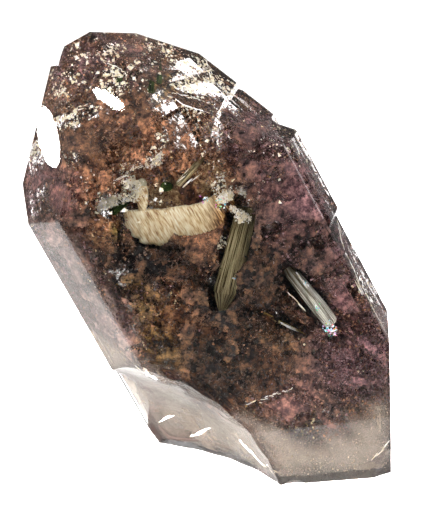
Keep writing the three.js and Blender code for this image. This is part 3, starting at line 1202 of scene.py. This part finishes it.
def build_splinters_and_glints(settings):
    """The pale splinters along cracks and needles, and the painted highlights along edges and ledges, as
    one mesh.
    """
    rng = np.random.default_rng(5)
    vertices = []
    faces = []
    for start, end, width, depth, number, fan_deg in PALE_LINES_AND_PAINTED_GLINTS:
        start = np.array(start, float)
        run = np.array(end, float) - start
        for place in np.linspace(0, 1, number):
            angle = math.radians(fan_deg) * rng.uniform(-1, 1)
            length = rng.uniform(1.1, 2.0) / number if number > 2 else rng.uniform(0.5, 0.9)
            turned = np.array(
                [
                    run[0] * math.cos(angle) - run[1] * math.sin(angle),
                    run[0] * math.sin(angle) + run[1] * math.cos(angle),
                ]
            )
            first = start + run * place * (1 - length) + rng.normal(0, 0.8, 2)
            points, sides = stroke(
                first, first + turned * length, width * rng.uniform(0.5, 1.1), depth
            )
            faces.append(sides + sum(map(len, vertices)))
            vertices.append(points)
    piece = mesh_from_arrays(
        "pale_splinters", in_part(np.vstack(vertices)), np.vstack(faces), splinter_and_glint_material(settings)
    )
    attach(piece, "root")


# The thin films of gas in hair cracks. Their rainbow colours are a painted sheen: the colours that
# light makes as it is reflected by a thin film, painted into the flakes. Each is x, y, reach in
# pixels, how many and their depth in millimetres.
GAS_FILMS_WITH_PAINTED_RAINBOW = (
    (332, 329, 7, 60, 1.2),
    (243, 276, 3, 16, 2.5),
    (250, 275, 2, 8, 2.5),
    (233, 278, 2, 8, 2.5),
    (220, 203, 6, 18, 2.5),
    (206, 200, 5, 12, 2.5),
    (306, 283, 3, 8, 2.5),
    (318, 307, 4, 12, 2.5),
)


def painted_rainbow_sheen_material():
    """Films of gas in hair cracks: thin, bright, each painted one clean colour of the rainbow, some white,
    as a painted sheen of light reflected by a thin film.
    """
    stops = (
        (0.1, linear("#ffffff")),
        (0.3, linear("#5fd8f2")),
        (0.45, linear("#7df08a")),
        (0.6, linear("#ffb24a")),
        (0.75, linear("#e04fd0")),
        (0.9, linear("#ffffff")),
    )
    return flaky_material("rainbow_film", 3200.0, stops, 0.2)


def build_films():
    """The gas films by the tourmalines, with their painted rainbow sheen, as one mesh of small flakes."""
    rng = np.random.default_rng(6)
    places = [
        sealed_place((x + rng.normal(0, reach / 2), y + rng.normal(0, reach / 2)), depth)
        for x, y, reach, number, depth in GAS_FILMS_WITH_PAINTED_RAINBOW
        for _ in range(number)
    ]
    flake_mesh(
        "rainbow_films", np.array(places), 0.2, 0.55, 0.25, painted_rainbow_sheen_material(), rng, FLECK_FACING
    )


# How many grooves of each fineness run along a tourmaline.
GROOVES_AROUND = (11, 17, 23, 31, 41)


def tourmaline_mesh(name, start, end, width, spin_deg, profile, material, seed):
    """A rounded three-sided prism with fine grooves along it, wider and narrower by its profile.
    Each vertex keeps a place stretched along the axis for the streaks, and its share along it."""
    start = Vector(start)
    end = Vector(end)
    length = (end - start).length
    around = 96
    angle = np.linspace(0, 2 * math.pi, around, endpoint=False)
    rng = np.random.default_rng(seed)
    knots, factors = np.array(profile, float).T
    shares = np.unique(np.concatenate([knots, np.linspace(0, 1, 33)]))
    grooves = sum(
        rng.uniform(0.5, 1) * np.sin(n * angle + rng.uniform(0, 6)) for n in GROOVES_AROUND
    )
    facets = 1 / np.cos((angle % (math.pi / 3)) - math.pi / 6)
    still = np.zeros(around)
    rows = []
    grain = []
    for share in shares:
        factor = np.interp(share, knots, factors)
        pointed = ramp(np.array([0.2 - share]), 0, 0.03)[0] if profile is SPLAYED else 0
        places = np.stack([angle * 2, still + share * 5, still], 1)
        groove = grooves * (0.6 + 0.8 * smooth_noise(places, 1, seed))
        body = 1 + 0.06 * np.cos(3 * angle) + 0.022 * groove
        r = width / 2 * factor * (body * (1 - pointed) + 0.95 * facets * pointed)
        run = np.full(around, share * length)
        rows.append(np.stack([r * np.cos(angle), 0.8 * r * np.sin(angle), run], 1))
        grain.append(np.stack([np.cos(angle) * width, np.sin(angle) * width, run * 0.05], 1))
    vertices = np.vstack(rows + [[[0, 0, 0.0]], [[0, 0, length]]])
    grain = np.vstack(grain + [[[0, 0, 0.0]], [[0, 0, length * 0.05]]])
    along = np.concatenate([np.repeat(shares, around), [0, 1]])
    faces = []
    for ring in range(len(shares) - 1):
        low = ring * around
        for k in range(around):
            n = (k + 1) % around
            faces.append((low + k, low + n, low + around + n, low + around + k))
    bottom = len(vertices) - 2
    last = (len(shares) - 1) * around
    faces += [((k + 1) % around, k, bottom) for k in range(around)]
    faces += [(last + k, last + (k + 1) % around, bottom + 1) for k in range(around)]
    turn = Vector((0, 0, 1)).rotation_difference((end - start).normalized())
    turn = turn @ Quaternion((0, 0, 1), math.radians(spin_deg))
    placed = np.array([turn @ Vector(v) + start for v in vertices])
    piece = new_object(name, in_part(placed), faces, material)
    store_values(piece, "grain", grain)
    store_values(piece, "along", along)
    return piece


def tourmaline_material(name, deep, light, roughness, transmission):
    """Tourmaline: glassy green to brown stone, half clear, with fine light and dark streaks along
    the prism, about a tenth of a millimetre apart, and darker towards its far end."""
    material, tree = new_material(name)
    grain = add_node(tree, "ShaderNodeAttribute", {"attribute_name": "grain"})
    along = add_node(tree, "ShaderNodeAttribute", {"attribute_name": "along"})
    streaks = add_node(
        tree,
        "ShaderNodeTexNoise",
        vector=grain.outputs["Vector"],
        scale=2.6,
        detail=5.0,
        roughness=0.75,
    )
    colour = add_node(
        tree,
        "ShaderNodeValToRGB",
        {"stops": tones(deep, light, (0.4, 0.47, 0.52, 0.6))},
        i0=streaks.outputs[0],
    )
    far = add_node(
        tree,
        "ShaderNodeMapRange",
        {"interpolation_type": "SMOOTHSTEP"},
        value=along.outputs["Fac"],
        from_min=0.45,
        from_max=1.05,
        to_min=0.0,
        to_max=0.75,
    )
    deepened = add_node(
        tree,
        "ShaderNodeMix",
        {"data_type": "RGBA"},
        i0=far.outputs[0],
        i6=colour.outputs[0],
        i7=tuple(deep) + (1,),
    )
    shader = add_node(
        tree,
        "ShaderNodeBsdfPrincipled",
        base_color=deepened.outputs[2],
        roughness=roughness,
        ior=SEALED_TOURMALINE_IOR,
        transmission_weight=transmission,
    )
    add_node(tree, "ShaderNodeOutputMaterial", surface=shader.outputs[0])
    return material


# Each tourmaline finish: deep and light colour, roughness and how clear it is.
TOURMALINE_FINISHES = {
    "olive": ("#2e2410", "#e6d6a6", 0.2, 0.15),
    "dark": ("#0a1105", "#45582a", 0.12, 0.2),
    # The bright prism is clear and grooved; these near-white streaks on an opaque prism are partly its pale
    # grooves and partly a painted sheen where it glints.
    "silvery_with_painted_sheen": ("#4d4128", "#fffff2", 0.15, 0.0),
    "golden": ("#7a5c1f", "#f3e0a4", 0.2, 0.2),
}


def build_tourmalines():
    """Every sealed tourmaline, each in place of its plain prism."""
    finishes = {}
    for name, (deep, light, roughness, clear) in TOURMALINE_FINISHES.items():
        finishes[name] = tourmaline_material(
            name + "_tourmaline", linear(deep)[:3], linear(light)[:3], roughness, clear
        )
    for seed, (name, values) in enumerate(TOURMALINES.items(), 60):
        start, end, width, spin, finish, profile = values
        made = "tourmaline_" + name + "_crystal"
        piece = tourmaline_mesh(made, start, end, width, spin, profile, finishes[finish], seed)
        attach(piece, "root")
        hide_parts("tourmaline_" + name)


def smooth_outline(outline, steps):
    """A closed smooth curve through the points of an outline."""
    points = np.array(outline, float)
    curve = []
    for k in range(len(points)):
        a, b, c, d = (points[(k + i) % len(points)] for i in (-1, 0, 1, 2))
        for t in np.arange(steps) / steps:
            bend = (2 * a - 5 * b + 4 * c - d) * t**2 + (3 * b - a - 3 * c + d) * t**3
            curve.append(0.5 * (2 * b + (c - a) * t + bend))
    return np.array(curve)


STROKE_DEG = -60


def strokes(places, seed):
    """Ridges from -1 to 1 that run down to the right across the cavity, each about a millimetre
    long and a quarter wide."""
    turn = math.radians(STROKE_DEG)
    along = places[:, 0] * math.cos(turn) + places[:, 1] * math.sin(turn)
    across = -places[:, 0] * math.sin(turn) + places[:, 1] * math.cos(turn)
    fine = np.stack([along / 1.3, across / 0.24, np.zeros(len(places))], 1)
    return 2 * layered_noise(fine, 1, seed, 2) - 1


def cavity_mesh():
    """The vertices and faces of the flat cavity, its ragged rim, and its walls combed with fine
    ridges and dented by slow folds."""
    rim = smooth_outline(CAVITY_OUTLINE, 22)
    middle = rim.mean(0)
    ragged = layered_noise(np.column_stack([rim, np.zeros(len(rim))]), 1.3, 75) - 0.5
    rim = middle + (rim - middle) * (1 + 0.2 * ragged[:, None])
    rings = 36
    around = len(rim)
    rows = []
    for side in (-1, 1):
        for ring in range(1, rings + 1):
            share = ring / rings
            flat = middle + (rim - middle) * share
            bulge = CAVITY_THICKNESS / 2 * math.sqrt(max(0.0, 1 - share**6)) * 0.82
            sided = np.column_stack([flat, np.full(around, side)])
            folds = 0.3 * (layered_noise(sided, 2.2, 71) - 0.5)
            ribs = 0.05 * strokes(flat, 73 + side)
            depth = side * (bulge + (folds + ribs) * (1 - share**8))
            rows.append(np.column_stack([flat[:, 0], depth, flat[:, 1]]))
    tips = [[[middle[0], side * CAVITY_THICKNESS / 2 * 0.82, middle[1]]] for side in (-1, 1)]
    vertices = np.vstack(rows + tips)
    faces = []
    for side in (0, 1):
        start = side * rings * around
        tip = 2 * rings * around + side
        turn = 1 if side == 0 else -1
        faces += [(start + k, start + (k + 1) % around, tip)[::turn] for k in range(around)]
        for ring in range(rings - 1):
            low = start + ring * around
            for k in range(around):
                n = (k + 1) % around
                faces.append((low + k, low + around + k, low + around + n, low + n)[::turn])
    first = (rings - 1) * around
    second = first + rings * around
    for k in range(around):
        n = (k + 1) % around
        faces.append((first + k, second + k, second + n, first + n))
    tilt = Matrix.Rotation(-math.radians(CAVITY_TILT_DEG), 3, "X")
    placed = np.array([tilt @ Vector(v) for v in vertices]) + CAVITY_CENTRE
    return placed, faces


def rounded_mesh(centre, radii, rounds, dents, seed):
    """The vertices and triangles of a dented egg."""
    vertices, triangles = unit_ball(rounds)
    dent = 1 + dents * 2 * (layered_noise(vertices * 3, 1, seed, 2) - 0.5)
    return centre + vertices * radii * dent[:, None], [tuple(t) for t in triangles]


def cavity_material():
    """A water cavity's wall: cream, wet and satiny, combed by fine tan lines, golden brown and
    specked towards its right end."""
    material, tree = new_material("combed_cavity_wall")
    place = add_node(tree, "ShaderNodeTexCoord").outputs["Object"]
    combed = add_node(
        tree,
        "ShaderNodeMapping",
        {"vector_type": "TEXTURE"},
        vector=place,
        rotation=(0, -math.radians(STROKE_DEG), 0),
        scale=(1.4 * MM, 0.6 * MM, 0.22 * MM),
    )
    streaks = add_node(tree, "ShaderNodeTexNoise", vector=combed.outputs[0], scale=1.0, detail=4.0)
    slow = add_node(tree, "ShaderNodeTexNoise", vector=place, scale=450.0, detail=2.0)
    both = add_node(
        tree, "ShaderNodeMath", {"operation": "MULTIPLY_ADD"}, i0=slow.outputs[0], i1=0.35, i2=-0.175
    )
    total = add_node(
        tree, "ShaderNodeMath", {"operation": "ADD"}, i0=streaks.outputs[0], i1=both.outputs[0]
    )
    cream = add_node(
        tree,
        "ShaderNodeValToRGB",
        {
            "stops": (
                (0.28, linear("#8a5f3c")),
                (0.42, linear("#cdb182")),
                (0.52, linear("#e4d5ac")),
                (0.72, linear("#fffbe6")),
            )
        },
        i0=total.outputs[0],
    )
    golden = add_node(
        tree,
        "ShaderNodeValToRGB",
        {
            "stops": (
                (0.36, linear("#2c170b")),
                (0.46, linear("#6b4524")),
                (0.56, linear("#b48a4f")),
                (0.7, linear("#f7e3b8")),
            )
        },
        i0=total.outputs[0],
    )
    split = add_node(tree, "ShaderNodeSeparateXYZ", i0=place)
    right = add_node(
        tree,
        "ShaderNodeMapRange",
        {"interpolation_type": "SMOOTHSTEP"},
        value=split.outputs[0],
        from_min=-1.8 * MM,
        from_max=1.2 * MM,
    )
    colour = add_node(
        tree,
        "ShaderNodeMix",
        {"data_type": "RGBA"},
        i0=right.outputs[0],
        i6=cream.outputs[0],
        i7=golden.outputs[0],
    )
    shader = add_node(
        tree, "ShaderNodeBsdfPrincipled", base_color=colour.outputs[2], roughness=0.3, ior=WET_SKIN_IOR
    )
    add_node(tree, "ShaderNodeOutputMaterial", surface=shader.outputs[0])
    return material


def bubble_material():
    """The gas bubble in the water: a pale grey-green skin, smooth and pearly."""
    stops = ((0.3, linear("#a9a486")), (0.7, linear("#d9d6be")))
    return speckled_material("gas_bubble", 1400.0, 1.0, stops, 0.12, ior=WET_SKIN_IOR)


def build_cavity():
    """The flat water cavity with combed walls and its lobe, and the gas bubble."""
    placed, faces = cavity_mesh()
    lobe, lobe_faces = rounded_mesh(LOBE_CENTRE, LOBE_RADII * 0.98, 5, 0.08, 77)
    faces += [tuple(i + len(placed) for i in f) for f in lobe_faces]
    places = in_part(np.vstack([placed, lobe]))
    piece = new_object("enhydro_cavity", places, faces, cavity_material())
    piece.data.shade_smooth()
    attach(piece, "root")
    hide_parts("enhydro_water")
    egg, egg_faces = rounded_mesh(BUBBLE_CENTRE, BUBBLE_RADII, 4, 0.03, 79)
    bubble = new_object("enhydro_bubble", in_part(egg), egg_faces, bubble_material())
    bubble.data.shade_smooth()
    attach(bubble, "root")


def floor_material():
    """Matt white paper, a touch uneven."""
    stops = ((0.3, linear("#f6f5f3")), (0.7, linear("#fbfaf8")))
    return speckled_material("white_paper", 40.0, 2.0, stops, 0.9)


def area_light(name, place, size, power, shape, axes):
    """A flat light of one or two sizes, in metres and watts, that faces against its third axis."""
    data = bpy.data.lights.new(name, "AREA")
    data.shape = shape
    data.size, data.size_y = size
    data.energy = power
    light = bpy.data.objects.new(name, data)
    bpy.context.scene.collection.objects.link(light)
    turn = Matrix([Vector(axis) for axis in axes]).transposed().to_4x4()
    light.matrix_world = Matrix.Translation(Vector(place)) @ turn
    light.visible_camera = False
    return light


def softbox(name, place, target, size, power, spread_deg=180):
    """A square soft light at a place, facing a target, perhaps with a grid that narrows it."""
    away = (Vector(place) - Vector(target)).normalized()
    side = Vector((0, 0, 1)).cross(away).normalized()
    light = area_light(name, place, (size, size), power, "RECTANGLE", (side, away.cross(side), away))
    light.data.spread = math.radians(spread_deg)
    return light


# The two lamps that the front view sees mirrored: the face that mirrors each, where in the view's
# pixels, how wide and high its mirror image is, and how far its top leans to the left.
MIRRORED_LAMPS = (
    ("front_left", (52, 138), (20, 62), 11),
    ("front", (109, 99.5), (12, 36), 57),
)
LAMP_DISTANCE = 300


def mirrored_lamp(number, side, pixel, size, lean_deg, radiance):
    """A small oval lamp, set where a face of the point mirrors it to the front view."""
    normal, distance = crystal_face(side, POINT_POLAR_DEG, BODY_POINT[side])
    right = np.array([1.0, 0, 0])
    ray = view_ray(pixel)
    reach = (distance - normal @ VIEW_POINT) / (normal @ ray)
    hit = VIEW_POINT + reach * ray
    lean = math.radians(lean_deg)
    upward = VIEW_UP * math.cos(lean) - right * math.sin(lean)
    mirror = np.eye(3) - 2 * np.outer(normal, normal)
    away = mirror @ ray
    long_way = mirror @ upward
    long_way -= away * (long_way @ away)
    long_way /= np.linalg.norm(long_way)
    grown = (reach + LAMP_DISTANCE) / reach
    width, height = (PIXEL * reach / VIEW_DISTANCE * s * grown * MM for s in size)
    power = radiance * math.pi * math.pi / 4 * width * height
    place = in_part(hit + LAMP_DISTANCE * away)
    axes = (np.cross(long_way, away), long_way, away)
    area_light("oval_lamp_%d" % number, place, (width, height), power, "ELLIPSE", axes)


# The floor, in metres, a hair under the crystal.
FLOOR_CORNERS = ((-3.0, -3.0), (3.0, -3.0), (3.0, 3.0), (-3.0, 3.0))
FLOOR_LEVEL = -2e-5

# The black card that lies on the floor in front. It is only seen in mirrors, so that the front
# faces don't mirror white paper.
CARD_CORNERS = ((-0.2, -0.5), (0.3, -0.5), (0.3, -0.045), (-0.2, -0.045))
CARD_LEVEL = 2e-4


def card_material():
    """Black felt, which throws back next to no light."""
    stops = ((0.3, linear("#050505")), (0.7, linear("#0d0d0d")))
    return speckled_material("black_felt", 900.0, 2.0, stops, 1.0)


def flat_sheet(name, corners, level, material):
    """A level sheet of four corners, in metres."""
    return new_object(name, [(x, y, level) for x, y in corners], [(0, 1, 2, 3)], material)


def build_stage(settings):
    """The floor, the soft lights, the lamps, the world and the camera."""
    floor = flat_sheet("floor", FLOOR_CORNERS, FLOOR_LEVEL, floor_material())
    card = flat_sheet("black_card", CARD_CORNERS, CARD_LEVEL, card_material())
    card.visible_camera = False
    card.visible_diffuse = False
    card.visible_transmission = False
    card.visible_shadow = False
    world = bpy.data.worlds.new("even_room")
    bpy.context.scene.world = world
    world.use_nodes = True
    tree = world.node_tree
    tree.nodes.clear()
    room = add_node(
        tree, "ShaderNodeBackground", color=(1, 1, 1, 1), strength=settings.room_light
    )
    add_node(tree, "ShaderNodeOutputWorld", surface=room.outputs[0])
    softbox("back_softbox", (-0.16, 0.30, 0.34), (-0.03, 0.1, 0), 0.34, settings.back_power)
    softbox("left_softbox", (-0.42, -0.22, 0.36), (0, 0, 0.035), 0.16, settings.key_power, 14)
    softbox("right_softbox", (0.36, -0.30, 0.45), (0, 0, 0.035), 0.16, settings.fill_power, 14)
    for number, (side, pixel, size, lean) in enumerate(MIRRORED_LAMPS, 1):
        mirrored_lamp(number, side, pixel, size, lean, settings.lamp_brightness)
    data = bpy.data.cameras.new("camera")
    camera = bpy.data.objects.new("camera", data)
    scene = bpy.context.scene
    scene.collection.objects.link(camera)
    data.sensor_width = SENSOR
    data.lens = SENSOR * VIEW_DISTANCE / (PIXEL * FRAME_PIXELS[1])
    data.clip_start = 0.01
    place = Vector(in_part(VIEW_POINT))
    turn = (-Vector(VIEW_FORWARD)).to_track_quat("Z", "Y")
    camera.matrix_world = Matrix.Translation(place) @ turn.to_matrix().to_4x4()
    scene.camera = camera
    scene.view_settings.view_transform = "Standard"
    scene.cycles.max_bounces = 20
    scene.cycles.transmission_bounces = 16
    scene.cycles.glossy_bounces = 12
    scene.cycles.diffuse_bounces = 5
    scene.cycles.transparent_max_bounces = 32
    scene.cycles.sample_clamp_indirect = 8.0


def colour_property(name, description, value):
    """A colour that the user can change."""
    return FloatVectorProperty(
        name=name, description=description, default=linear(value)[:3], subtype="COLOR", min=0, max=1
    )


class QuartzSettings(bpy.types.PropertyGroup):
    edge_wear: FloatProperty(
        name="Edge wear",
        description="Width of the worn flat along each crystal edge",
        default=0.00012,
        precision=5,
        subtype="DISTANCE",
        unit="LENGTH",
    )
    smoky_colour: colour_property("Smoky colour", "What the clear stone lets through", "#c9aea6")
    smoky_density: FloatProperty(
        name="Smoky density",
        description="How fast the stone darkens with depth, per metre",
        default=12.0,
    )


class InclusionSettings(bpy.types.PropertyGroup):
    rust_deep: colour_property("Rust, deep", "Deepest tone of the rust-brown dust and flakes", "#2a0d07")
    rust_light: colour_property("Rust, light", "Lightest tone of the rust-brown dust and flakes", "#b27d59")
    dark_deep: colour_property("Dark, deep", "Deepest tone of the near black dust and flakes", "#050302")
    dark_light: colour_property("Dark, light", "Lightest tone of the near black dust and flakes", "#593c26")
    mauve_deep: colour_property("Mauve, deep", "Deepest tone of the mauve dust and flakes", "#28101a")
    mauve_light: colour_property("Mauve, light", "Lightest tone of the mauve dust and flakes", "#946d70")
    olive_deep: colour_property("Olive, deep", "Deepest tone of the olive dust", "#120c04")
    olive_light: colour_property("Olive, light", "Lightest tone of the olive dust", "#8f7838")
    milk_deep: colour_property("Milky, deep", "Deepest tone of the milky foot", "#8f7f71")
    milk_light: colour_property("Milky, light", "Lightest tone of the milky foot", "#c4b5a1")
    gold_deep: colour_property("Golden, deep", "Deepest tone of the golden flakes", "#a97f40")
    gold_light: colour_property("Golden, light", "Lightest tone of the golden flakes", "#fff3d0")
    tan_deep: colour_property("Tan, deep", "Deepest tone of the tan veil", "#6e4a2c")
    tan_light: colour_property("Tan, light", "Lightest tone of the tan veil", "#d9b78a")
    ivory_deep: colour_property("Ivory, deep", "Deepest tone of the ivory flecks", "#e8dcb8")
    ivory_light: colour_property("Ivory, light", "Lightest tone of the ivory flecks", "#ffffff")


class StageSettings(bpy.types.PropertyGroup):
    room_light: FloatProperty(
        name="Room light",
        description="Brightness of the even light all round",
        default=0.25,
    )
    back_power: FloatProperty(
        name="Back power",
        description="Power of the softbox over the floor behind the crystal",
        default=2.2,
        subtype="POWER",
        unit="POWER",
    )
    key_power: FloatProperty(
        name="Key power",
        description="Power of the gridded softbox at the upper left in front",
        default=1.3,
        subtype="POWER",
        unit="POWER",
    )
    fill_power: FloatProperty(
        name="Fill power",
        description="Power of the gridded softbox at the upper right in front",
        default=0.8,
        subtype="POWER",
        unit="POWER",
    )
    lamp_brightness: FloatProperty(
        name="Lamp brightness",
        description="Radiance of the two oval lamps that the point mirrors",
        default=45.0,
    )


class EnhydroStageOperator(bpy.types.Operator):
    """Makes the floor, the lights and the camera."""

    bl_idname = "enhydro.stage"
    bl_label = "Stage"

    def execute(self, context):
        build_stage(context.scene.enhydro_stage)
        return {"FINISHED"}


class EnhydroQuartzOperator(bpy.types.Operator):
    """Makes the clear quartz crystal in place of its two plain halves."""

    bl_idname = "enhydro.quartz"
    bl_label = "Quartz crystal"

    def execute(self, context):
        build_quartz(context.scene.enhydro_quartz)
        return {"FINISHED"}


class EnhydroDustOperator(bpy.types.Operator):
    """Makes the clouds of fine mineral dust in the quartz."""

    bl_idname = "enhydro.dust"
    bl_label = "Mineral dust"

    def execute(self, context):
        build_dust(context.scene.enhydro_inclusions)
        return {"FINISHED"}


class EnhydroFlakesOperator(bpy.types.Operator):
    """Makes the flakes of each mineral, the pale splinters with the painted highlights, and the gas films
    with their painted rainbow sheen.
    """

    bl_idname = "enhydro.flakes"
    bl_label = "Mineral flakes"

    def execute(self, context):
        settings = context.scene.enhydro_inclusions
        build_flakes(settings)
        build_splinters_and_glints(settings)
        build_films()
        return {"FINISHED"}


class EnhydroTourmalineOperator(bpy.types.Operator):
    """Makes the streaked tourmalines in place of their plain prisms."""

    bl_idname = "enhydro.tourmalines"
    bl_label = "Tourmalines"

    def execute(self, context):
        build_tourmalines()
        return {"FINISHED"}


class EnhydroCavityOperator(bpy.types.Operator):
    """Makes the water cavity and its bubble in place of the plain water."""

    bl_idname = "enhydro.cavity"
    bl_label = "Water cavity"

    def execute(self, context):
        build_cavity()
        return {"FINISHED"}


OPERATORS = (
    EnhydroStageOperator,
    EnhydroQuartzOperator,
    EnhydroDustOperator,
    EnhydroFlakesOperator,
    EnhydroTourmalineOperator,
    EnhydroCavityOperator,
)


class EnhydroPanel(bpy.types.Panel):
    bl_idname = "VIEW3D_PT_enhydro"
    bl_label = "Enhydro quartz"
    bl_space_type = "VIEW_3D"
    bl_region_type = "UI"
    bl_category = "Quartz"

    def draw(self, context):
        for operator in OPERATORS:
            self.layout.operator(operator.bl_idname)
        scene = context.scene
        for group in (scene.enhydro_quartz, scene.enhydro_inclusions, scene.enhydro_stage):
            for name in group.__annotations__:
                self.layout.prop(group, name)


CLASSES = (QuartzSettings, InclusionSettings, StageSettings, *OPERATORS, EnhydroPanel)


def register():
    for cls in CLASSES:
        bpy.utils.register_class(cls)
    bpy.types.Scene.enhydro_quartz = PointerProperty(type=QuartzSettings)
    bpy.types.Scene.enhydro_inclusions = PointerProperty(type=InclusionSettings)
    bpy.types.Scene.enhydro_stage = PointerProperty(type=StageSettings)


def unregister():
    del bpy.types.Scene.enhydro_stage
    del bpy.types.Scene.enhydro_inclusions
    del bpy.types.Scene.enhydro_quartz
    for cls in reversed(CLASSES):
        bpy.utils.unregister_class(cls)


def main():
    register()
    bpy.ops.enhydro.stage()
    bpy.ops.enhydro.quartz()
    bpy.ops.enhydro.dust()
    bpy.ops.enhydro.flakes()
    bpy.ops.enhydro.tourmalines()
    bpy.ops.enhydro.cavity()


if __name__ == "__main__":
    main()
